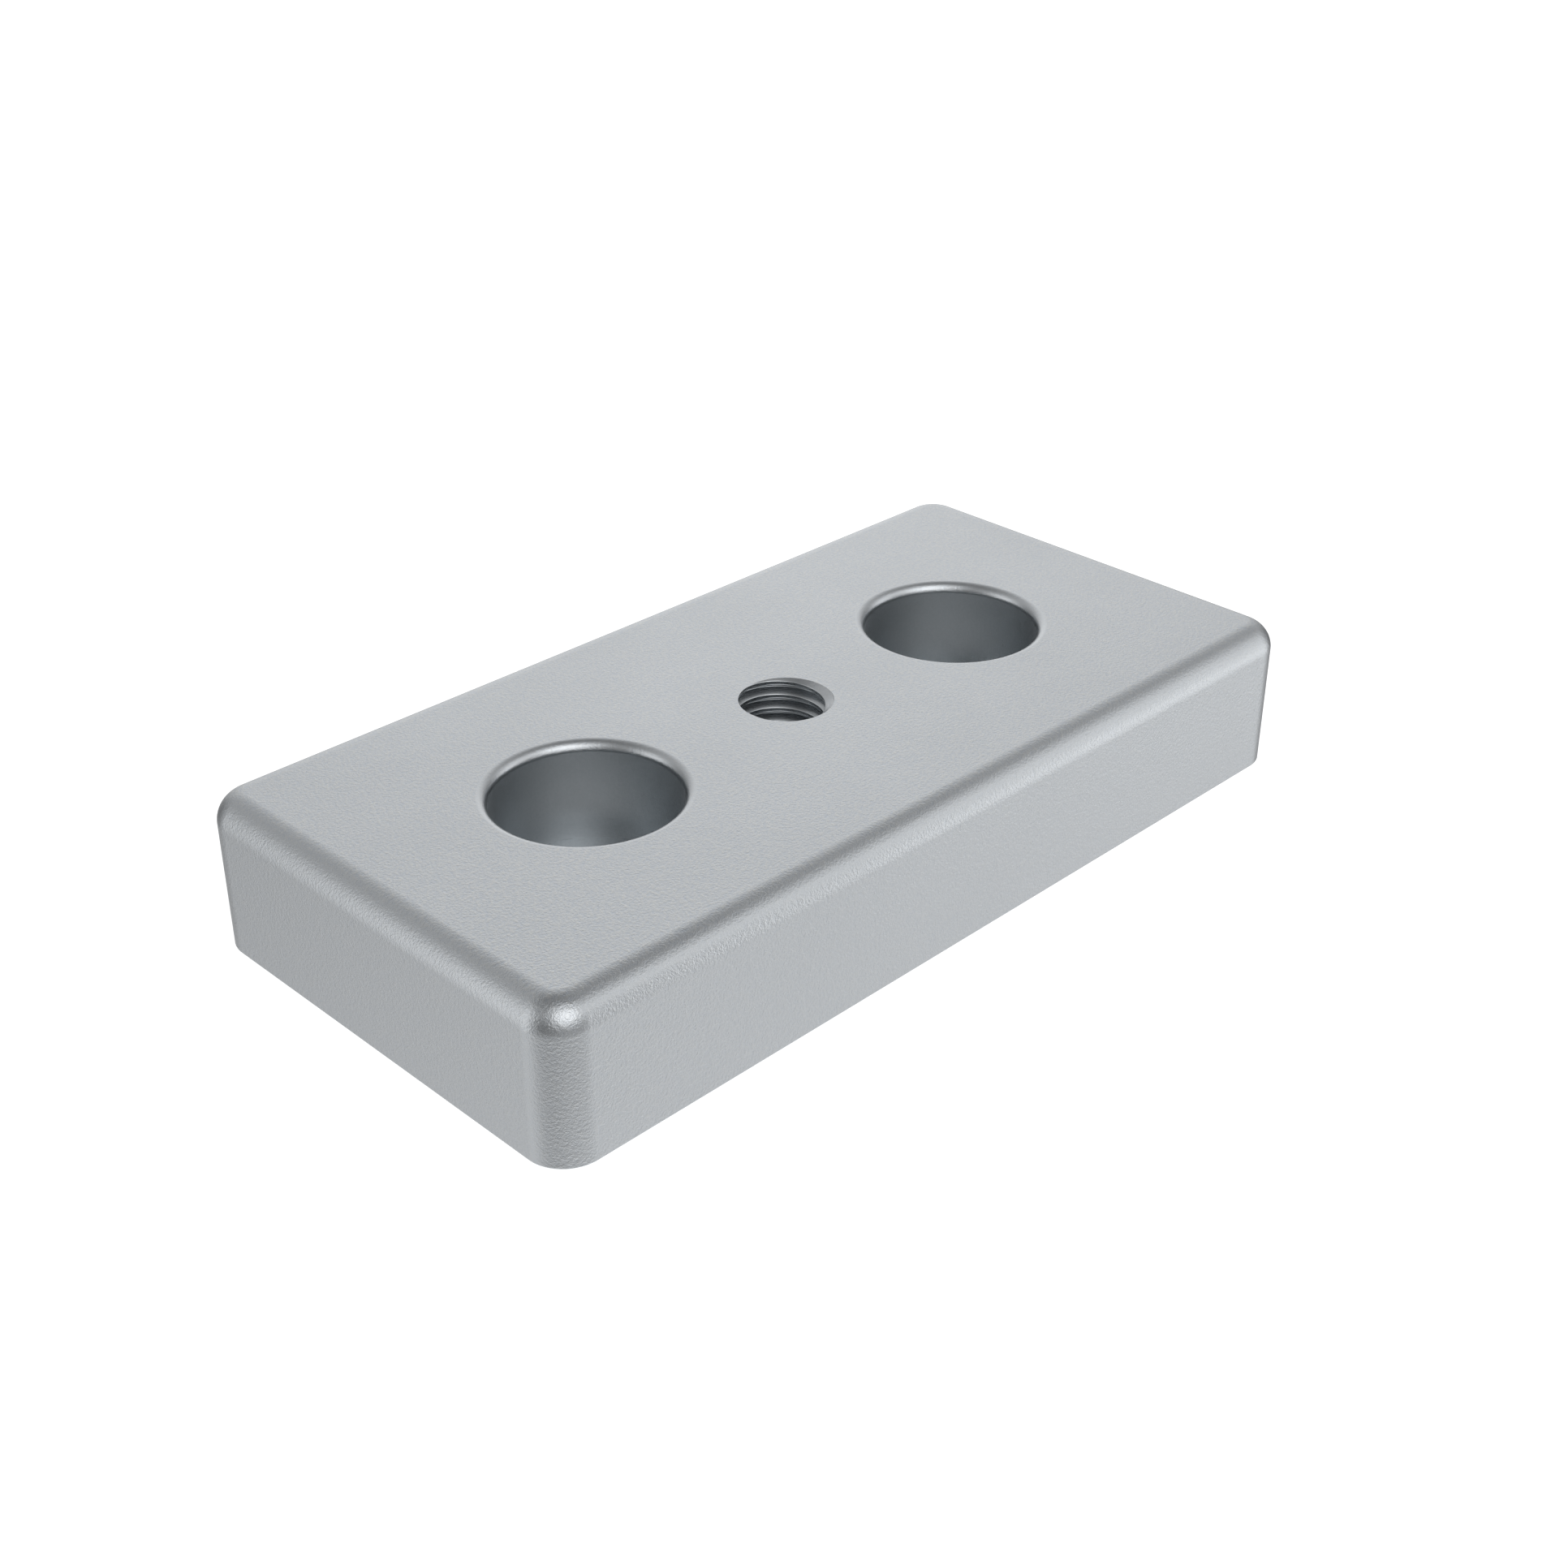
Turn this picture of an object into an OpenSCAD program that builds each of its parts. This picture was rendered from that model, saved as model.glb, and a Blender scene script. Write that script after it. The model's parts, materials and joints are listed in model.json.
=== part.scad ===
// Base plate for the end of a twin aluminium profile
// Two countersunk screws hold it to the profile, and a levelling foot or a castor screws into its middle.
// Frame: X along the length, Y across the width, Z up, origin at the middle of the underside.

/* [Plate] */
// Length of the plate, along X
plate_length = 100; // [90:1:160]
// Width of the plate, along Y
plate_width = 50; // [40:1:80]
// Thickness of the plate
plate_thickness = 15.9; // [12:0.1:24]
// Radius of the four upright corners, seen from above
corner_radius = 4; // [3.5:0.1:8]
// Radius of the rounding that runs all round the top edge
edge_radius = 2.85; // [0.5:0.05:3.4]

/* [Profile screws] */
// Distance between the two profile screws, which is the grid of the profile
screw_spacing = 50; // [44:1:60]
// Diameter of the recess that takes the screw's head
recess_diameter = 18; // [16:0.1:21]
// Thickness of the floor that the screw's head bears on
floor_thickness = 5.5; // [3:0.1:8]
// Diameter of the clearance hole through that floor
clearance_diameter = 11; // [6:0.1:13.5]
// Radius of the rounded rim where the recess meets the top face
rim_radius = 1; // [0.3:0.1:2]

/* [Foot thread] */
// Nominal diameter of the thread in the middle
thread_diameter = 10; // [6:1:16]
// Pitch of that thread
thread_pitch = 1.5; // [0.75:0.25:2]

/* [Hidden] */
// Facets of a full circle where the model is drawn as a mesh
$fn = 96;
// Length by which each cut runs past the face that it opens
overrun = 1;
// An internal metric thread's crests stand in from its nominal diameter by this share of the pitch
crest_factor = 1.0825;
// Diameter at the crests, which is the hole that the thread is cut in
crest_diameter = thread_diameter - crest_factor * thread_pitch;
recess_radius = recess_diameter / 2;
recess_depth = plate_thickness - floor_thickness;
// Straight run of the long and the short sides, between the corners
long_run = plate_length - 2 * corner_radius;
short_run = plate_width - 2 * corner_radius;

// Section of the plate's outer strip: flat outside, square at the foot, rounded at the top edge
module edge_section() {
    square([corner_radius, plate_thickness - edge_radius]);
    square([corner_radius - edge_radius, plate_thickness]);
    translate([corner_radius - edge_radius, plate_thickness - edge_radius])
        intersection() {
            circle(r = edge_radius);
            square(edge_radius);
        }
}

// Quarter round post at one corner, standing on its own axis
module corner_post() {
    rotate_extrude(angle = 90)
        edge_section();
}

// Straight strip along one side, of the same section as the posts, with its outer face towards +X
module side_strip(run) {
    translate([0, run / 2, 0])
        rotate([90, 0, 0])
            linear_extrude(height = run)
                edge_section();
}

// The cast blank: core, four strips and four corner posts, which together roll the rounding round the top
module blank() {
    translate([-long_run / 2, -short_run / 2, 0])
        cube([long_run, short_run, plate_thickness]);
    for (side = [0, 180]) {
        rotate([0, 0, side])
            translate([long_run / 2, 0, 0])
                side_strip(short_run);
        rotate([0, 0, side + 90])
            translate([short_run / 2, 0, 0])
                side_strip(long_run);
        rotate([0, 0, side])
            translate([long_run / 2, short_run / 2, 0])
                corner_post();
        rotate([0, 0, side + 90])
            translate([short_run / 2, long_run / 2, 0])
                corner_post();
    }
}

// What flares a round hole out into the top face, with a rim of the given radius
module rim_flare(hole_radius, radius) {
    translate([0, 0, plate_thickness - radius])
        rotate_extrude()
            difference() {
                square([hole_radius + radius, radius + overrun]);
                translate([hole_radius + radius, 0])
                    circle(r = radius);
            }
}

// Recess for a cap screw's head, its rounded rim, and the clearance hole in its floor
module screw_seat() {
    translate([0, 0, floor_thickness])
        cylinder(h = recess_depth + overrun, r = recess_radius);
    translate([0, 0, -overrun])
        cylinder(h = floor_thickness + 2 * overrun, d = clearance_diameter);
    rim_flare(recess_radius, rim_radius);
}

// Hole for the foot's thread, at the diameter of the thread's crests
module foot_hole() {
    translate([0, 0, -overrun])
        cylinder(h = plate_thickness + 2 * overrun, d = crest_diameter);
}

module base_plate() {
    color("silver")
        difference() {
            blank();
            for (side = [-1, 1])
                translate([side * screw_spacing / 2, 0, 0])
                    screw_seat();
            foot_hole();
        }
}

base_plate();
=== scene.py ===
"""A cast base plate for the end of a twin aluminium profile, in a plain white studio.

The plate is one casting. It is modelled from a block, as by hand: the upright corners and the top edge are
rolled, the two screw seats are sunk, the foot thread is cut with a tap, and the whole is dressed in the fine
satin grain of blasted zinc. Lengths are in millimetres until they reach Blender, which works in metres.
"""

import json
import logging
import math
from collections.abc import Callable
from dataclasses import dataclass
from enum import Enum

import bmesh
import bpy
from mathutils import Matrix, Vector


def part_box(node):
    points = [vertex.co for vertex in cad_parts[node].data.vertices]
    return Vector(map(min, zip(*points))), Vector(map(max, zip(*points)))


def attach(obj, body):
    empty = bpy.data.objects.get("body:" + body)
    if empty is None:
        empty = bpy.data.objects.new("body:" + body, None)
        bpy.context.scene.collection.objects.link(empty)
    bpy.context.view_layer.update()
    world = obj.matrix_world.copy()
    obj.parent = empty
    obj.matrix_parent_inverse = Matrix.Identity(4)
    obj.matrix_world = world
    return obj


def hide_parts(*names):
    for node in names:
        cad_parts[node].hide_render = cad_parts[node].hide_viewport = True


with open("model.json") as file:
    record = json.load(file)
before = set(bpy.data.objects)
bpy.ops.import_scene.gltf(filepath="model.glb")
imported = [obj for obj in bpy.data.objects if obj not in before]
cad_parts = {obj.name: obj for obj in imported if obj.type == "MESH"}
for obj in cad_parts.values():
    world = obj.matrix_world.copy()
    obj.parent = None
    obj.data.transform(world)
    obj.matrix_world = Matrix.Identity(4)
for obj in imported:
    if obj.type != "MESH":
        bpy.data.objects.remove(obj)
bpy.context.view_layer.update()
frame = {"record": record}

LOG = logging.getLogger("base_plate")
# The CAD solid that the plate stands for.
NODE = "base_plate"
# One millimetre, in metres.
MM = 0.001
# A cutter runs past a face by this much, in millimetres.
OVERRUN = 1.0
# A point nearer than this to a face or a radius is on it, in millimetres.
TOUCH = 0.02
# The top of a rolled rim, this deep, counts as the flat face that it runs into, in millimetres.
FADE = 0.002
# Points nearer to each other than this are one, in millimetres.
WELD = 0.001
# A point nearer than this to a cutting plane is on it, in millimetres.
ON_PLANE = 0.0001
# A face is level where at least this much of its normal is upright.
LEVEL = 0.9
# Faces that meet at less than this angle are smoothed into one another, in degrees.
SMOOTH_BELOW = 20.0
# Nearly all of a noise's values lie between these two.
NOISE_SPAN = (0.3, 0.7)


class Surface(Enum):
    """The five ways in which the plate's faces are made, as material slots."""

    CAST = 0
    ROLLED = 1
    BORED = 2
    FACED = 3
    THREADED = 4


class Pick(Enum):
    """What is picked in edit mode."""

    VERTICES = "VERT"
    EDGES = "EDGE"
    FACES = "FACE"


def mount(name: str) -> dict:
    """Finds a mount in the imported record.

    Args:
        name: the mount's name.

    Returns:
        The mount, with its place in metres and its dims in millimetres.
    """
    return next(m for m in frame["record"]["mounts"] if m["name"] == name)


def take_up(piece: bpy.types.Object) -> None:
    """Makes one object the only one selected, and the active one.

    Args:
        piece: the object to work on.
    """
    bpy.ops.object.select_all(action="DESELECT")
    piece.select_set(True)
    bpy.context.view_layer.objects.active = piece


def set_down(piece: bpy.types.Object) -> None:
    """Puts an object's place and size into its mesh, so that the object itself sits at the origin.

    Args:
        piece: the object to settle.
    """
    take_up(piece)
    bpy.ops.object.transform_apply(location=True, rotation=True, scale=True)


def start_edit(piece: bpy.types.Object, pick: Pick) -> None:
    """Opens an object in edit mode with nothing picked.

    Args:
        piece: the object to edit.
        pick: what will be picked.
    """
    take_up(piece)
    bpy.ops.object.mode_set(mode="EDIT")
    bpy.ops.mesh.select_mode(type=pick.value)
    bpy.ops.mesh.select_all(action="DESELECT")


def end_edit() -> None:
    """Leaves edit mode."""
    bpy.ops.object.mode_set(mode="OBJECT")


def pick_edges(piece: bpy.types.Object, wanted: Callable[[Vector, Vector], bool]) -> int:
    """Picks edges in edit mode by where their two ends are.

    Args:
        piece: the object in edit mode.
        wanted: says of an edge's two ends, in millimetres, whether the edge is wanted.

    Returns:
        How many edges were picked.
    """
    mesh = bmesh.from_edit_mesh(piece.data)
    count = 0
    for edge in mesh.edges:
        first, second = (v.co / MM for v in edge.verts)
        if wanted(first, second):
            edge.select_set(True)
            count += 1
    bmesh.update_edit_mesh(piece.data)
    return count


def pick_faces(piece: bpy.types.Object, wanted: Callable[[Vector], bool]) -> None:
    """Picks faces in edit mode by the way they look.

    Args:
        piece: the object in edit mode.
        wanted: says of a face's normal whether the face is wanted.
    """
    mesh = bmesh.from_edit_mesh(piece.data)
    for face in mesh.faces:
        if wanted(face.normal):
            face.select_set(True)
    bmesh.update_edit_mesh(piece.data)


def cut_away(piece: bpy.types.Object, cutter: bpy.types.Object) -> None:
    """Cuts one object out of another and throws the cutter away.

    Args:
        piece: the object that is cut.
        cutter: the closed object that cuts it.
    """
    take_up(piece)
    cut = piece.modifiers.new("cut", "BOOLEAN")
    cut.operation = "DIFFERENCE"
    cut.solver = "EXACT"
    cut.object = cutter
    bpy.ops.object.modifier_apply(modifier=cut.name)
    bpy.data.objects.remove(cutter, do_unlink=True)


def add_math(nodes: bpy.types.Nodes, operation: str) -> bpy.types.ShaderNode:
    """Adds a math node.

    Args:
        nodes: the nodes that it goes among.
        operation: what it works out.

    Returns:
        The math node.
    """
    node = nodes.new("ShaderNodeMath")
    node.operation = operation
    return node


@dataclass
class Blank:
    """The plain cast block, before any hole.

    Its upright corners are round, and one rounding of even radius runs all round its top edge.
    """

    length: float
    width: float
    thickness: float
    corner_radius: float = 4.0
    edge_radius: float = 2.85
    foot_break: float = 0.12
    corner_facets: int = 28
    edge_facets: int = 18
    foot_facets: int = 2

    def build(self) -> bpy.types.Object:
        """Makes the block.

        Returns:
            The block, standing on the origin's plane.
        """
        bpy.ops.object.select_all(action="DESELECT")
        bpy.ops.mesh.primitive_cube_add(
            size=1.0,
            location=(0.0, 0.0, self.thickness / 2 * MM),
            scale=(self.length * MM, self.width * MM, self.thickness * MM),
        )
        block = bpy.context.object
        block.name = "cast_base_plate"
        block.data.name = "cast_base_plate"
        set_down(block)
        self.round_corners(block)
        self.roll_top_edge(block)
        self.break_foot_edge(block)
        return block

    def round_corners(self, block: bpy.types.Object) -> None:
        """Rounds the four upright edges.

        Args:
            block: the square block.
        """
        start_edit(block, Pick.EDGES)
        pick_edges(block, lambda a, b: abs(a.z - b.z) > self.thickness / 2)
        bpy.ops.mesh.bevel(offset=self.corner_radius * MM, segments=self.corner_facets, affect="EDGES")
        end_edit()

    def roll_top_edge(self, block: bpy.types.Object) -> None:
        """Rolls the rounding round the top edge.

        Args:
            block: the block with round corners.
        """
        start_edit(block, Pick.EDGES)
        pick_edges(block, lambda a, b: min(a.z, b.z) > self.thickness - TOUCH)
        bpy.ops.mesh.bevel(offset=self.edge_radius * MM, segments=self.edge_facets, affect="EDGES")
        end_edit()

    def break_foot_edge(self, block: bpy.types.Object) -> None:
        """Takes the sharpness off the lower edge, as blasting does.

        Args:
            block: the block with its top edge rolled.
        """
        start_edit(block, Pick.EDGES)
        pick_edges(block, lambda a, b: max(a.z, b.z) < TOUCH)
        bpy.ops.mesh.bevel(offset=self.foot_break * MM, segments=self.foot_facets, affect="EDGES")
        end_edit()


@dataclass
class ScrewSeat:
    """One sunk seat for a profile screw: the recess for its head, with the clearance hole in its floor."""

    x: float
    recess_radius: float
    clearance_radius: float
    floor: float
    thickness: float
    rim_radius: float = 1.0
    facets: int = 128
    rim_facets: int = 10

    @classmethod
    def from_mounts(cls, side: str, thickness: float) -> "ScrewSeat":
        """Reads a seat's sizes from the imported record.

        Args:
            side: left or right, as the mounts are named.
            thickness: the plate's thickness.

        Returns:
            The seat.
        """
        recess, hole = mount(f"{side}_head_recess"), mount(f"{side}_screw_hole")
        return cls(
            x=recess["pos_m"][0] / MM,
            recess_radius=recess["dims"]["r_mm"],
            clearance_radius=hole["dims"]["r_mm"],
            floor=hole["dims"]["length_mm"],
            thickness=thickness,
        )

    def cut(self, block: bpy.types.Object) -> None:
        """Sinks the seat into the block and rounds its rim.

        Args:
            block: the block.
        """
        cut_away(block, self.cutter())
        start_edit(block, Pick.EDGES)
        rim = pick_edges(block, lambda a, b: self.on_rim(a) and self.on_rim(b))
        bpy.ops.mesh.bevel(offset=self.rim_radius * MM, segments=self.rim_facets, affect="EDGES")
        end_edit()
        LOG.info("screw seat at x %+.1f mm: %d rim edges rounded", self.x, rim)

    def cutter(self) -> bpy.types.Object:
        """Makes the stepped tool that the seat is sunk with.

        Returns:
            A closed cylinder of the recess's size with a thinner one below it.
        """
        height = self.thickness - self.floor + OVERRUN
        bpy.ops.object.select_all(action="DESELECT")
        bpy.ops.mesh.primitive_cylinder_add(
            vertices=self.facets,
            radius=self.recess_radius * MM,
            depth=height * MM,
            location=(self.x * MM, 0.0, (self.floor + height / 2) * MM),
        )
        tool = bpy.context.object
        set_down(tool)
        start_edit(tool, Pick.FACES)
        pick_faces(tool, lambda normal: normal.z < -LEVEL)
        bpy.ops.mesh.inset(thickness=(self.recess_radius - self.clearance_radius) * MM)
        bpy.ops.mesh.extrude_region_move(
            TRANSFORM_OT_translate={"value": (0.0, 0.0, -(self.floor + OVERRUN) * MM)}
        )
        end_edit()
        return tool

    def on_rim(self, point: Vector) -> bool:
        """Says whether a point lies on the sharp rim of the recess.

        Args:
            point: the point, in millimetres.

        Returns:
            True where it does.
        """
        reach = math.hypot(point.x - self.x, point.y)
        return abs(reach - self.recess_radius) < TOUCH and abs(point.z - self.thickness) < TOUCH

    def holds(self, point: Vector) -> bool:
        """Says whether a point lies on the bored faces of the seat.

        Args:
            point: the point, in millimetres.

        Returns:
            True where it does.
        """
        reach = math.hypot(point.x - self.x, point.y)
        return reach < self.recess_radius + TOUCH and TOUCH < point.z < self.thickness - self.rim_radius

    def rolls(self, point: Vector) -> bool:
        """Says whether a point lies on the round rim of the seat.

        Args:
            point: the point, in millimetres.

        Returns:
            True where it does.
        """
        reach = math.hypot(point.x - self.x, point.y)
        low, high = self.thickness - self.rim_radius, self.thickness - FADE
        return reach < self.recess_radius + self.rim_radius + TOUCH and low <= point.z < high


@dataclass
class FootThread:
    """The right-hand thread in the middle, which takes a levelling foot or a castor.

    The mouth angle is where the middle of the thread's root comes out at the top face. The crests stand
    back from the bored radius by an allowance.
    """

    crest_radius: float
    thickness: float
    pitch: float = 1.5
    root_radius: float = 5.14
    crest_flat: float = 0.385
    root_flat: float = 0.115
    crest_allowance: float = 0.07
    edge_softness: float = 0.05
    edge_facets: int = 4
    mouth_angle: float = -40.0
    facets: int = 96

    def cut(self, block: bpy.types.Object) -> None:
        """Cuts the thread right through the block.

        Args:
            block: the block.
        """
        tap = self.outline()
        self.wind(tap)
        self.trim(tap)
        cut_away(block, tap)
        LOG.info("foot thread: %.2f mm pitch, %.2f mm over its roots", self.pitch, 2 * self.root_radius)

    def outline(self) -> bpy.types.Object:
        """Draws one pitch of the thread's outline, from the middle of one root to the middle of the next.

        Returns:
            The outline, as a chain of edges that starts a whole number of turns below the top face.
        """
        lead = self.pitch * self.mouth_angle / 360
        start = self.thickness - lead - (self.turns() - 1) * self.pitch
        bpy.ops.object.select_all(action="DESELECT")
        bpy.ops.mesh.primitive_plane_add(size=MM, location=(self.root_radius * MM, 0.0, start * MM))
        tap = bpy.context.object
        tap.name = "tap"
        set_down(tap)
        start_edit(tap, Pick.VERTICES)
        bpy.ops.mesh.select_all(action="SELECT")
        bpy.ops.mesh.merge(type="CENTER")
        depth = self.root_radius - self.crest_radius - self.crest_allowance
        for inward, upward in (
            (0.0, self.root_flat / 2),
            (-depth, self.flank()),
            (0.0, self.crest_flat),
            (depth, self.flank()),
            (0.0, self.root_flat / 2),
        ):
            stroke = (inward * MM, 0.0, upward * MM)
            bpy.ops.mesh.extrude_vertices_move(TRANSFORM_OT_translate={"value": stroke})
        mesh = bmesh.from_edit_mesh(tap.data)
        for point in mesh.verts:
            point.select_set(len(point.link_edges) == 2)
        mesh.select_flush_mode()
        bmesh.update_edit_mesh(tap.data)
        bpy.ops.mesh.bevel(offset=self.edge_softness * MM, segments=self.edge_facets, affect="VERTICES")
        end_edit()
        return tap

    def wind(self, tap: bpy.types.Object) -> None:
        """Winds the outline up the axis and joins its turns.

        Args:
            tap: the outline of one pitch.
        """
        take_up(tap)
        winding = tap.modifiers.new("winding", "SCREW")
        winding.axis = "Z"
        winding.angle = math.tau
        winding.screw_offset = self.pitch * MM
        winding.iterations = self.turns()
        winding.steps = winding.render_steps = self.facets
        bpy.ops.object.modifier_apply(modifier=winding.name)
        start_edit(tap, Pick.VERTICES)
        bpy.ops.mesh.select_all(action="SELECT")
        bpy.ops.mesh.remove_doubles(threshold=WELD * MM)
        end_edit()

    def trim(self, tap: bpy.types.Object) -> None:
        """Cuts both ends of the winding square and closes them.

        Args:
            tap: the winding.
        """
        start_edit(tap, Pick.VERTICES)
        for level, facing in ((-OVERRUN, -1.0), (self.thickness + OVERRUN, 1.0)):
            bpy.ops.mesh.select_all(action="SELECT")
            bpy.ops.mesh.bisect(
                plane_co=(0.0, 0.0, level * MM),
                plane_no=(0.0, 0.0, facing),
                use_fill=True,
                clear_outer=True,
                threshold=ON_PLANE * MM,
            )
        bpy.ops.mesh.select_all(action="SELECT")
        bpy.ops.mesh.normals_make_consistent(inside=False)
        end_edit()

    def turns(self) -> int:
        """Gives how many turns run past both faces of the block."""
        return math.ceil((self.thickness + 2 * OVERRUN) / self.pitch) + 2

    def flank(self) -> float:
        """Gives the height of one flank of the thread."""
        return (self.pitch - self.crest_flat - self.root_flat) / 2

    def holds(self, point: Vector) -> bool:
        """Says whether a point lies on the thread, below the part of it that the blasting reached.

        Args:
            point: the point, in millimetres.

        Returns:
            True where it does.
        """
        reach = math.hypot(point.x, point.y)
        return reach < self.root_radius + TOUCH and 0.0 < point.z < self.mouth_edge(point)

    def opens(self, point: Vector) -> bool:
        """Says whether a point lies on the flank that comes out at the top face.

        Args:
            point: the point, in millimetres.

        Returns:
            True where it does.
        """
        reach = math.hypot(point.x, point.y)
        return reach < self.root_radius + TOUCH and self.mouth_edge(point) <= point.z < self.thickness - TOUCH

    def mouth_edge(self, point: Vector) -> float:
        """Gives the height of the uppermost crest's upper edge, under or over a point.

        Args:
            point: the point, in millimetres.

        Returns:
            The height of that edge, which may lie above the top face.
        """
        half_groove = self.root_flat / 2 + self.flank()
        behind = 360 * half_groove / self.pitch
        turned = (math.degrees(math.atan2(point.y, point.x)) - self.mouth_angle + behind) % 360 - behind
        return min(self.thickness + self.pitch * turned / 360 - half_groove, self.thickness - TOUCH)


@dataclass(frozen=True)
class GrainGroup:
    """The fine grain that blasting leaves on zinc, as a shader node group that every finish shares.

    The height has a share of a finer grain in it. The speckle gives way to an even tone on faces that don't
    look up.
    """

    name: str = "blasted_grain"
    times_finer: float = 2.3
    finer_share: float = 0.35
    layer_gain: float = 0.55
    upward_from: float = 0.8
    even_tone: float = 0.5

    def build(self) -> bpy.types.ShaderNodeTree:
        """Makes the group, or finds the one already made.

        The speckle is strongest on the faces that look up, where the shot strikes them squarely.

        Returns:
            The group, with sizes going in and a height and two masks coming out.
        """
        found = bpy.data.node_groups.get(self.name)
        if found:
            return found
        group = bpy.data.node_groups.new(self.name, "ShaderNodeTree")
        for socket in ("Grain Scale", "Cloud Scale", "Shelter"):
            group.interface.new_socket(name=socket, in_out="INPUT", socket_type="NodeSocketFloat")
        for socket in ("Height", "Grain", "Cloud"):
            group.interface.new_socket(name=socket, in_out="OUTPUT", socket_type="NodeSocketFloat")
        nodes, links = group.nodes, group.links
        inputs, outputs = nodes.new("NodeGroupInput"), nodes.new("NodeGroupOutput")
        place = nodes.new("ShaderNodeTexCoord")
        grain = self.noise(group, detail=2.0)
        speck = self.noise(group, detail=1.0)
        cloud = self.noise(group, detail=3.0)
        finer = add_math(nodes, "MULTIPLY")
        finer.inputs[1].default_value = self.times_finer
        blend = nodes.new("ShaderNodeMix")
        blend.inputs["Factor"].default_value = self.finer_share
        facing = nodes.new("ShaderNodeSeparateXYZ")
        exposure = nodes.new("ShaderNodeMapRange")
        exposure.inputs["From Min"].default_value = self.upward_from
        speckle = nodes.new("ShaderNodeMix")
        speckle.inputs["A"].default_value = self.even_tone
        for texture in (grain, speck, cloud):
            links.new(place.outputs["Object"], texture.inputs["Vector"])
        links.new(place.outputs["Normal"], facing.inputs["Vector"])
        links.new(facing.outputs["Z"], exposure.inputs["Value"])
        links.new(inputs.outputs["Shelter"], exposure.inputs["To Min"])
        links.new(inputs.outputs["Grain Scale"], grain.inputs["Scale"])
        links.new(inputs.outputs["Grain Scale"], finer.inputs[0])
        links.new(finer.outputs["Value"], speck.inputs["Scale"])
        links.new(inputs.outputs["Cloud Scale"], cloud.inputs["Scale"])
        links.new(grain.outputs["Fac"], blend.inputs["A"])
        links.new(speck.outputs["Fac"], blend.inputs["B"])
        links.new(exposure.outputs["Result"], speckle.inputs["Factor"])
        links.new(grain.outputs["Fac"], speckle.inputs["B"])
        links.new(blend.outputs["Result"], outputs.inputs["Height"])
        links.new(speckle.outputs["Result"], outputs.inputs["Grain"])
        links.new(cloud.outputs["Fac"], outputs.inputs["Cloud"])
        return group

    def noise(self, group: bpy.types.ShaderNodeTree, detail: float) -> bpy.types.ShaderNode:
        """Adds a noise texture to the group.

        Args:
            group: the group that it goes into.
            detail: how many finer layers it has.

        Returns:
            The texture's node.
        """
        texture = group.nodes.new("ShaderNodeTexNoise")
        texture.inputs["Detail"].default_value = detail
        texture.inputs["Roughness"].default_value = self.layer_gain
        return texture


@dataclass(frozen=True)
class ZincFinish:
    """One finish of the zinc, with its own grain and gloss.

    The shelter is how much of the speckle is left on faces that don't look up.
    """

    name: str
    dark: tuple[float, float, float]
    light: tuple[float, float, float]
    roughness: tuple[float, float]
    grain_mm: float
    grain_depth_mm: float
    shelter: float = 1.0
    cloud_mm: float = 14.0

    def build(self) -> bpy.types.Material:
        """Makes the material.

        Returns:
            The material, ready for a piece.
        """
        material = bpy.data.materials.new(self.name)
        material.use_nodes = True
        nodes, links = material.node_tree.nodes, material.node_tree.links
        shader = nodes["Principled BSDF"]
        shader.inputs["Metallic"].default_value = 1.0
        grain = nodes.new("ShaderNodeGroup")
        grain.node_tree = GrainGroup().build()
        grain.inputs["Grain Scale"].default_value = 1 / (self.grain_mm * MM)
        grain.inputs["Cloud Scale"].default_value = 1 / (self.cloud_mm * MM)
        grain.inputs["Shelter"].default_value = self.shelter
        colour = nodes.new("ShaderNodeValToRGB")
        for stop, place, tone in zip(colour.color_ramp.elements, NOISE_SPAN, (self.dark, self.light)):
            stop.position = place
            stop.color = (*tone, 1.0)
        gloss = nodes.new("ShaderNodeMapRange")
        gloss.inputs["From Min"].default_value, gloss.inputs["From Max"].default_value = NOISE_SPAN
        gloss.inputs["To Min"].default_value, gloss.inputs["To Max"].default_value = self.roughness
        bump = nodes.new("ShaderNodeBump")
        bump.inputs["Distance"].default_value = self.grain_depth_mm * MM
        links.new(grain.outputs["Grain"], colour.inputs["Fac"])
        links.new(grain.outputs["Cloud"], gloss.inputs["Value"])
        links.new(grain.outputs["Height"], bump.inputs["Height"])
        links.new(colour.outputs["Color"], shader.inputs["Base Color"])
        links.new(gloss.outputs["Result"], shader.inputs["Roughness"])
        links.new(bump.outputs["Normal"], shader.inputs["Normal"])
        return material


CAST_SKIN = ZincFinish(
    name="cast_zinc_skin",
    dark=(0.483, 0.517, 0.559),
    light=(0.569, 0.580, 0.579),
    roughness=(0.29, 0.33),
    grain_mm=0.28,
    grain_depth_mm=0.056,
    shelter=0.3,
)
ROLLED_RIM = ZincFinish(
    name="rolled_zinc_rim",
    dark=(0.516, 0.545, 0.572),
    light=(0.536, 0.553, 0.566),
    roughness=(0.27, 0.30),
    grain_mm=0.28,
    grain_depth_mm=0.03,
)
# The bored faces of the screw seats. They have a rougher finish, and a colour a little darker than the cast
# skin, which is painted shade for the sunk recesses.
BORED_WALL_PAINTED_SHADE = ZincFinish(
    name="bored_zinc_painted_shade",
    dark=(0.49, 0.52, 0.54),
    light=(0.52, 0.545, 0.565),
    roughness=(0.40, 0.44),
    grain_mm=0.25,
    grain_depth_mm=0.006,
)
FACED_SHOULDER = ZincFinish(
    name="faced_zinc_shoulder",
    dark=(0.52, 0.548, 0.565),
    light=(0.54, 0.562, 0.58),
    roughness=(0.08, 0.12),
    grain_mm=0.25,
    grain_depth_mm=0.004,
)
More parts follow.
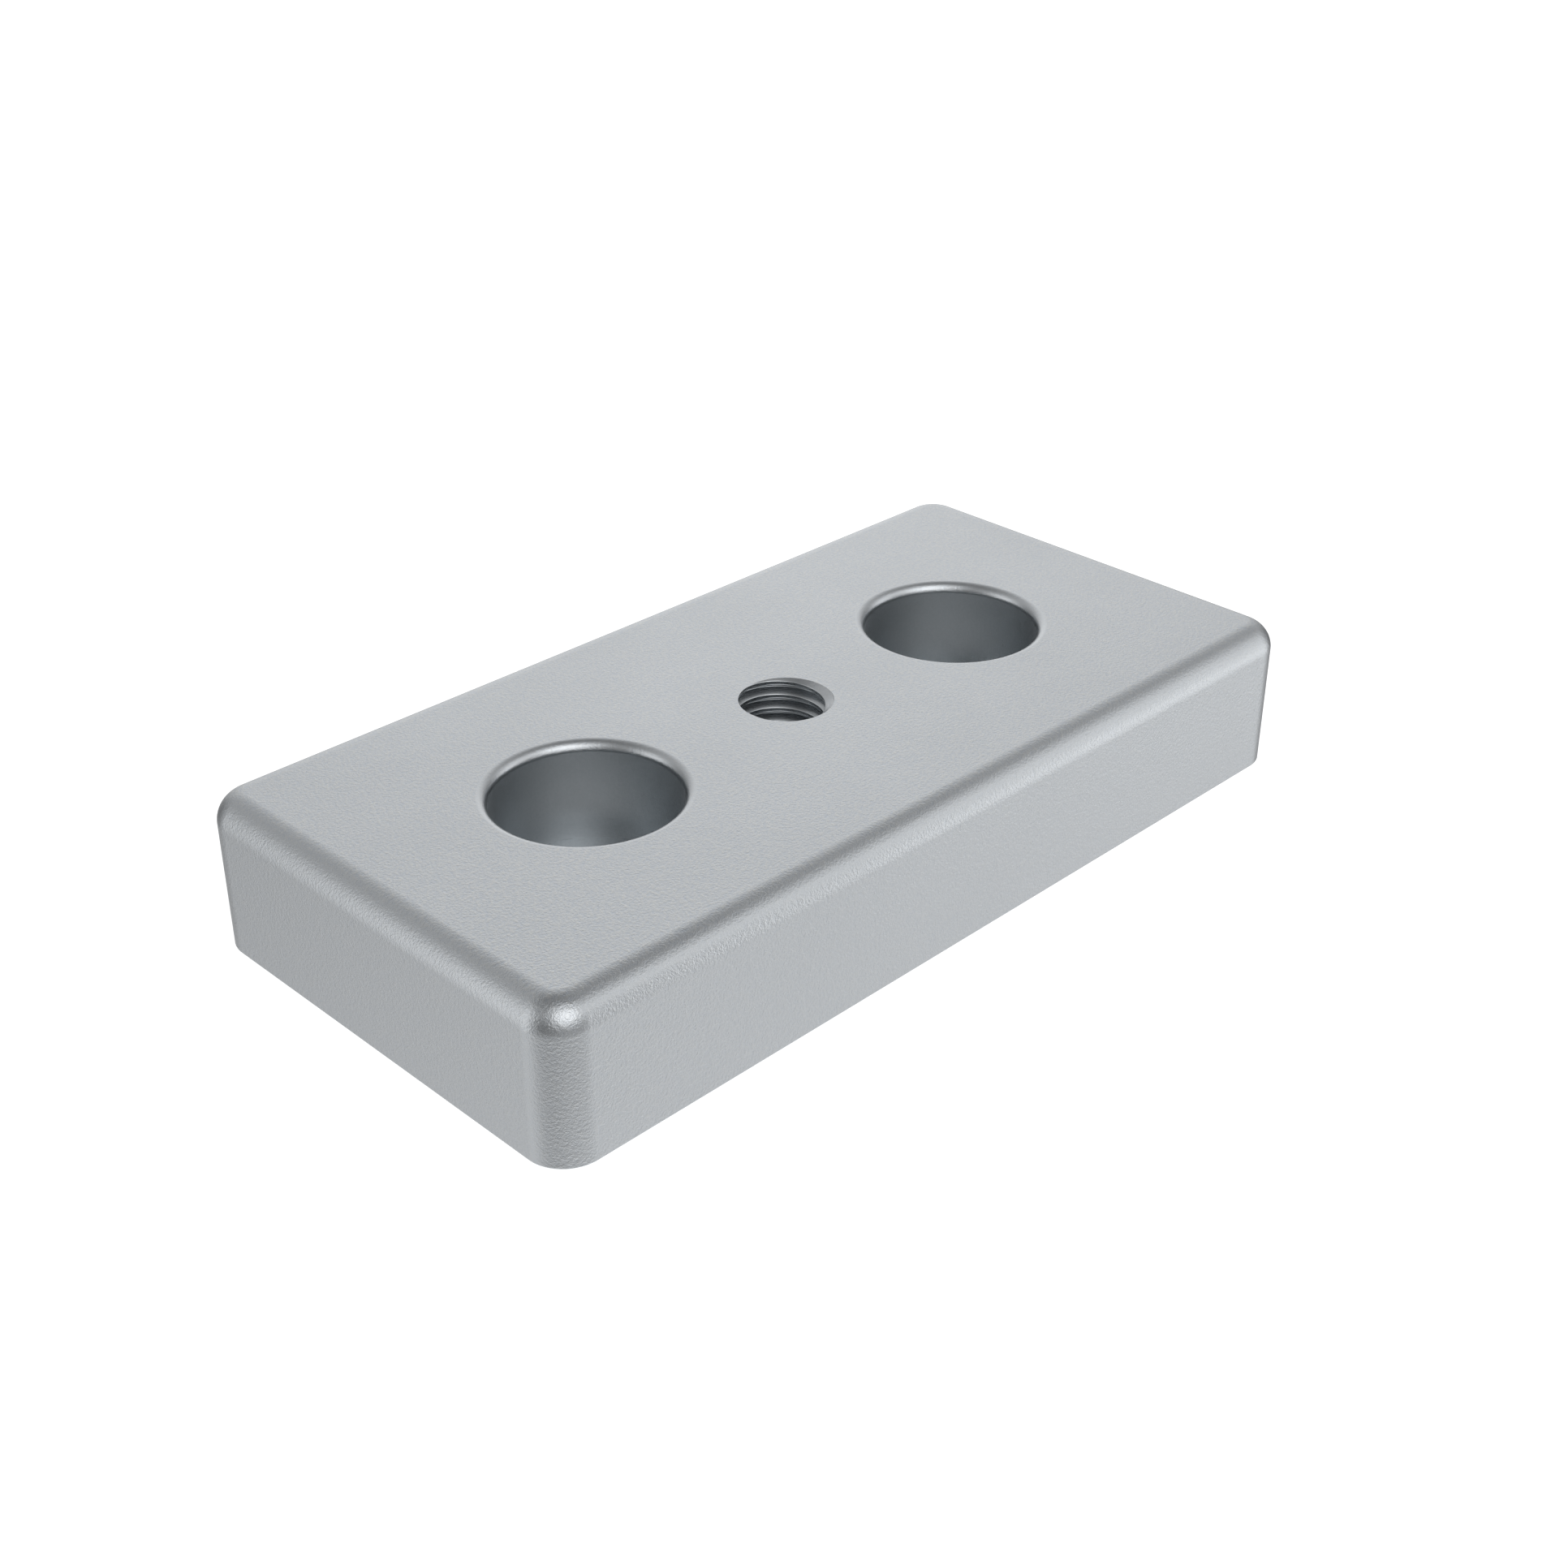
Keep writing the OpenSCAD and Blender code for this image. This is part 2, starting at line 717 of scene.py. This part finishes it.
CUT_THREAD = ZincFinish(
    name="cut_zinc_thread",
    dark=(0.56, 0.585, 0.605),
    light=(0.59, 0.615, 0.635),
    roughness=(0.24, 0.28),
    grain_mm=0.2,
    grain_depth_mm=0.002,
)


@dataclass
class BasePlate:
    """The whole plate: the blank, its two screw seats and its foot thread, cut in one piece."""

    blank: Blank
    seats: list[ScrewSeat]
    thread: FootThread

    @classmethod
    def from_frame(cls) -> "BasePlate":
        """Reads the plate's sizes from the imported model.

        Returns:
            The plate, not yet built.
        """
        low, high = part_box(NODE)
        length, width, thickness = (high - low) / MM
        return cls(
            blank=Blank(length, width, thickness),
            seats=[ScrewSeat.from_mounts(side, thickness) for side in ("left", "right")],
            thread=FootThread(mount("foot_thread")["dims"]["r_mm"], thickness),
        )

    def build(self) -> bpy.types.Object:
        """Models the plate, dresses it and puts it in the place of the CAD solid.

        Returns:
            The finished piece.
        """
        plate = self.blank.build()
        for seat in self.seats:
            seat.cut(plate)
        self.thread.cut(plate)
        self.shade(plate)
        self.dress(plate)
        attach(plate, "root")
        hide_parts(NODE)
        return plate

    def shade(self, plate: bpy.types.Object) -> None:
        """Smooths the round faces and keeps the flat ones flat.

        Args:
            plate: the plate after its last cut.
        """
        take_up(plate)
        bpy.ops.object.shade_smooth_by_angle(angle=math.radians(SMOOTH_BELOW))
        even = plate.modifiers.new("even", "WEIGHTED_NORMAL")
        even.mode = "FACE_AREA"
        even.weight = 100
        even.keep_sharp = True
        bpy.ops.object.modifier_apply(modifier=even.name)

    def dress(self, plate: bpy.types.Object) -> None:
        """Gives each face the finish of the way it is made, with painted shade in the colour of the bored
        faces.

        Args:
            plate: the shaded plate.
        """
        for finish in (CAST_SKIN, ROLLED_RIM, BORED_WALL_PAINTED_SHADE, FACED_SHOULDER, CUT_THREAD):
            plate.data.materials.append(finish.build())
        for face in plate.data.polygons:
            face.material_index = self.surface(face.center / MM, face.normal).value

    def surface(self, middle: Vector, normal: Vector) -> Surface:
        """Says how a face is made.

        Args:
            middle: the face's middle, in millimetres.
            normal: its normal.

        Returns:
            The way it is made.
        """
        if self.thread.holds(middle):
            return Surface.THREADED
        if any(seat.holds(middle) for seat in self.seats):
            return Surface.FACED if normal.z > LEVEL else Surface.BORED
        if self.thread.opens(middle) or any(seat.rolls(middle) for seat in self.seats):
            return Surface.ROLLED
        return Surface.CAST


@dataclass
class PhotoCamera:
    """The camera of the photograph: one corner towards it, and the long side running off to the right.

    The azimuth is in degrees from the front, and is less than nought to the left of it. The aim is how far to
    the right of the middle of the plate's foot, and how far above it, the camera looks. The lens is given for
    Blender's own film.
    """

    azimuth: float = -45.0
    elevation: float = 30.0
    distance: float = 220.43
    aim_right: float = 0.232
    aim_up: float = 5.509
    lens: float = 50.0

    def axes(self) -> tuple[Vector, Vector, Vector]:
        """Works out the camera's own directions.

        Returns:
            Unit vectors to its right, to its top and out of its back.
        """
        a, e = math.radians(self.azimuth), math.radians(self.elevation)
        back = Vector((math.sin(a) * math.cos(e), -math.cos(a) * math.cos(e), math.sin(e)))
        right = Vector((math.cos(a), math.sin(a), 0.0))
        return right, back.cross(right), back

    def build(self) -> None:
        """Makes the camera and hands it to the scene."""
        right, top, back = self.axes()
        camera = bpy.data.objects.new("camera", bpy.data.cameras.new("camera"))
        camera.data.lens = self.lens
        camera.data.clip_start = 0.01
        camera.data.clip_end = 50.0
        place = right * self.aim_right + top * self.aim_up + back * self.distance
        turn = Matrix((right, top, back)).transposed().to_4x4()
        camera.matrix_world = Matrix.Translation(place * MM) @ turn
        bpy.context.scene.collection.objects.link(camera)
        bpy.context.scene.camera = camera


@dataclass(frozen=True)
class Glow:
    """One large soft light round the plate, strongest at its middle and with no edge.

    Its azimuth is in degrees from the plate's right end, by way of the back. A flag, the dark card that keeps
    an edge of the metal from washing out, has a strength below nought.
    """

    name: str
    azimuth: float
    elevation: float
    tightness: float
    strength: float

    def towards(self) -> tuple[float, float, float]:
        """Gives the unit vector from the plate to the middle of the light."""
        a, e = math.radians(self.azimuth), math.radians(self.elevation)
        return math.cos(a) * math.cos(e), math.sin(a) * math.cos(e), math.sin(e)


@dataclass(frozen=True)
class Surround:
    """The soft light all round the plate: banks of lamps near the horizon, the paper and two dark flags.

    The camera sees plain white in its place.
    """

    glows: tuple[Glow, ...] = (
        Glow("key", azimuth=253, elevation=38, tightness=6.6, strength=2.05),
        Glow("far_bank", azimuth=45, elevation=17, tightness=3.6, strength=1.09),
        Glow("left_bank", azimuth=150, elevation=21, tightness=10.7, strength=1.02),
        Glow("left_paper", azimuth=148, elevation=-13, tightness=12.7, strength=0.88),
        Glow("right_bank", azimuth=323, elevation=25, tightness=13.0, strength=0.9),
        Glow("right_paper", azimuth=323, elevation=-9, tightness=16.7, strength=1.38),
        Glow("ceiling", azimuth=111, elevation=46, tightness=15.0, strength=0.3),
        Glow("paper_below", azimuth=343, elevation=-85, tightness=2.6, strength=1.75),
        Glow("right_flag", azimuth=6, elevation=-12, tightness=9.0, strength=-0.5),
        Glow("left_flag", azimuth=92, elevation=-14, tightness=16.0, strength=-0.25),
    )

    def build(self) -> None:
        """Hangs the lights in the scene's world."""
        world = bpy.data.worlds.new("soft_surround")
        world.use_nodes = True
        nodes, links = world.node_tree.nodes, world.node_tree.links
        place = nodes.new("ShaderNodeTexCoord")
        group = self.glow_group()
        total = None
        for glow in self.glows:
            node = nodes.new("ShaderNodeGroup")
            node.node_tree = group
            node.label = glow.name
            node.inputs["Towards"].default_value = glow.towards()
            node.inputs["Tightness"].default_value = glow.tightness
            node.inputs["Strength"].default_value = glow.strength
            links.new(place.outputs["Generated"], node.inputs["Direction"])
            if total is not None:
                links.new(total, node.inputs["Sum"])
            total = node.outputs["Sum"]
        path = nodes.new("ShaderNodeLightPath")
        seen = nodes.new("ShaderNodeMix")
        seen.label = "plain white to the camera"
        seen.inputs["B"].default_value = 1.0
        links.new(path.outputs["Is Camera Ray"], seen.inputs["Factor"])
        links.new(total, seen.inputs["A"])
        links.new(seen.outputs["Result"], nodes["Background"].inputs["Strength"])
        nodes["Background"].inputs["Color"].default_value = (1.0, 1.0, 1.0, 1.0)
        bpy.context.scene.world = world

    @staticmethod
    def glow_group() -> bpy.types.ShaderNodeTree:
        """Makes the node group of one soft light.

        Away from its middle the light falls off as exp(tightness * (cosine of the angle - 1)).

        Returns:
            The group, which adds its light to the sum of those before it.
        """
        group = bpy.data.node_groups.new("soft_glow", "ShaderNodeTree")
        for socket, kind in (
            ("Direction", "NodeSocketVector"),
            ("Towards", "NodeSocketVector"),
            ("Tightness", "NodeSocketFloat"),
            ("Strength", "NodeSocketFloat"),
            ("Sum", "NodeSocketFloat"),
        ):
            group.interface.new_socket(name=socket, in_out="INPUT", socket_type=kind)
        group.interface.new_socket(name="Sum", in_out="OUTPUT", socket_type="NodeSocketFloat")
        nodes, links = group.nodes, group.links
        inputs, outputs = nodes.new("NodeGroupInput"), nodes.new("NodeGroupOutput")
        cosine = nodes.new("ShaderNodeVectorMath")
        cosine.operation = "DOT_PRODUCT"
        away = add_math(nodes, "SUBTRACT")
        away.inputs[1].default_value = 1.0
        narrow = add_math(nodes, "MULTIPLY")
        fall = add_math(nodes, "EXPONENT")
        add = add_math(nodes, "MULTIPLY_ADD")
        links.new(inputs.outputs["Direction"], cosine.inputs[0])
        links.new(inputs.outputs["Towards"], cosine.inputs[1])
        links.new(cosine.outputs["Value"], away.inputs[0])
        links.new(away.outputs["Value"], narrow.inputs[0])
        links.new(inputs.outputs["Tightness"], narrow.inputs[1])
        links.new(narrow.outputs["Value"], fall.inputs[0])
        links.new(fall.outputs["Value"], add.inputs[0])
        links.new(inputs.outputs["Strength"], add.inputs[1])
        links.new(inputs.outputs["Sum"], add.inputs[2])
        links.new(add.outputs["Value"], outputs.inputs["Sum"])
        return group


@dataclass(frozen=True)
class PaperFloor:
    """The plain white paper under the plate.

    The camera sees it as white, with the plate's faint shadow on it, because a fill is added to its own
    colour. The metal mirrors the paper's soft tones from the surround instead, where they can fall off
    towards the camera as they do in a studio.
    """

    half_size: float = 4000.0
    colour: float = 0.8
    fill: float = 0.7

    def build(self) -> None:
        """Lays the floor."""
        bpy.ops.object.select_all(action="DESELECT")
        bpy.ops.mesh.primitive_plane_add(size=2 * self.half_size * MM)
        floor = bpy.context.object
        floor.name = "floor"
        floor.data.materials.append(self.paper())

    def paper(self) -> bpy.types.Material:
        """Makes the paper's material.

        Returns:
            The material.
        """
        material = bpy.data.materials.new("white_paper")
        material.use_nodes = True
        nodes, links = material.node_tree.nodes, material.node_tree.links
        nodes.remove(nodes["Principled BSDF"])
        path = nodes.new("ShaderNodeLightPath")
        lit = nodes.new("ShaderNodeBsdfDiffuse")
        lit.inputs["Color"].default_value = (self.colour, self.colour, self.colour, 1.0)
        amount = add_math(nodes, "MULTIPLY")
        amount.inputs[1].default_value = self.fill
        fill = nodes.new("ShaderNodeEmission")
        seen = nodes.new("ShaderNodeAddShader")
        clear = nodes.new("ShaderNodeBsdfTransparent")
        either = nodes.new("ShaderNodeMixShader")
        links.new(path.outputs["Is Camera Ray"], amount.inputs[0])
        links.new(amount.outputs["Value"], fill.inputs["Strength"])
        links.new(lit.outputs["BSDF"], seen.inputs[0])
        links.new(fill.outputs["Emission"], seen.inputs[1])
        links.new(path.outputs["Is Glossy Ray"], either.inputs["Fac"])
        links.new(seen.outputs["Shader"], either.inputs[1])
        links.new(clear.outputs["BSDF"], either.inputs[2])
        links.new(either.outputs["Shader"], nodes["Material Output"].inputs["Surface"])
        return material


@dataclass(frozen=True)
class Studio:
    """The paper floor, the soft light round it and the plain view that both are seen in."""

    floor: PaperFloor = PaperFloor()
    surround: Surround = Surround()

    def build(self) -> None:
        """Sets up the studio."""
        self.floor.build()
        self.surround.build()
        bpy.context.scene.view_settings.view_transform = "Standard"


def main() -> None:
    """Builds the plate and its studio."""
    logging.basicConfig(level=logging.INFO, format="%(message)s")
    plate = BasePlate.from_frame().build()
    LOG.info("%s: %d faces", plate.name, len(plate.data.polygons))
    PhotoCamera().build()
    Studio().build()


if __name__ == "__main__":
    main()
